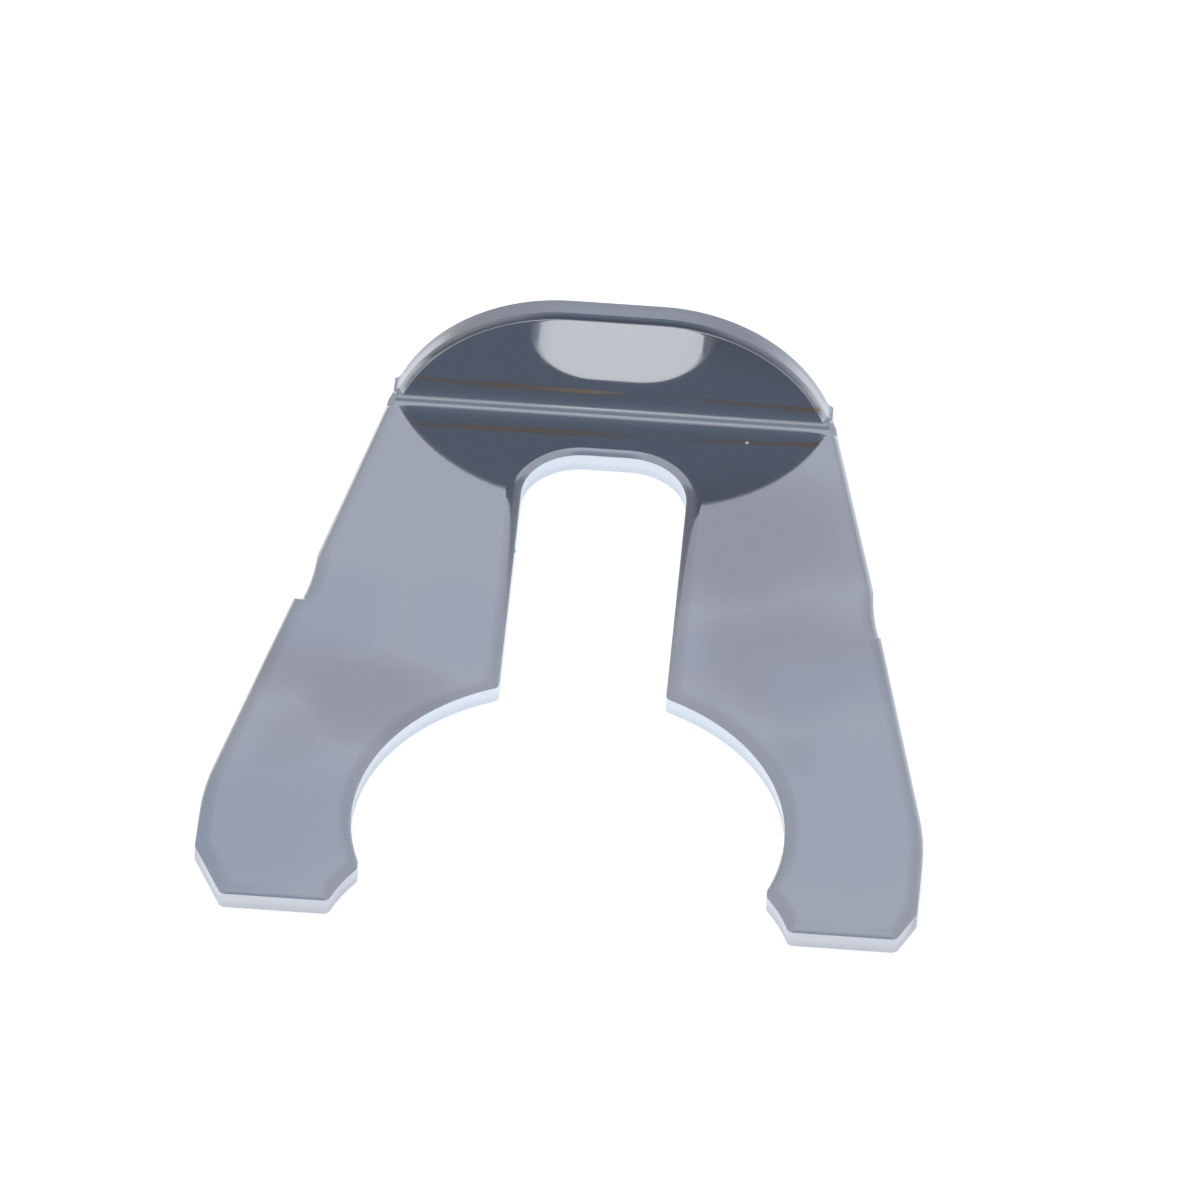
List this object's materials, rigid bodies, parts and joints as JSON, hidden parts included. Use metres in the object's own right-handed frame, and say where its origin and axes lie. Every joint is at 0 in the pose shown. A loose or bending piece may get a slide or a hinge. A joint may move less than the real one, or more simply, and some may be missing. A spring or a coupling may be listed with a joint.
{
  "type": "snap-in retaining clip",
  "caption": "Flat spring steel clip with a round seat between two flared legs, a slot that lets them spring, and a folded thumb tab.",
  "frame": {"origin": "axis of the round seat, on the sheet's underside", "axes": "+Z along the seat's axis, through the sheet towards the side the tab stands on; +Y from the legs' toes to the folded tab; +X across the clip"},
  "size_m": [0.0301, 0.0323, 0.0063],
  "materials": {
    "spring_steel": "bright cold-rolled strip, as stamped, with satin rolling grain"
  },
  "bodies": {
    "root": {"clip": "spring_steel"}
  },
  "joints": []
}
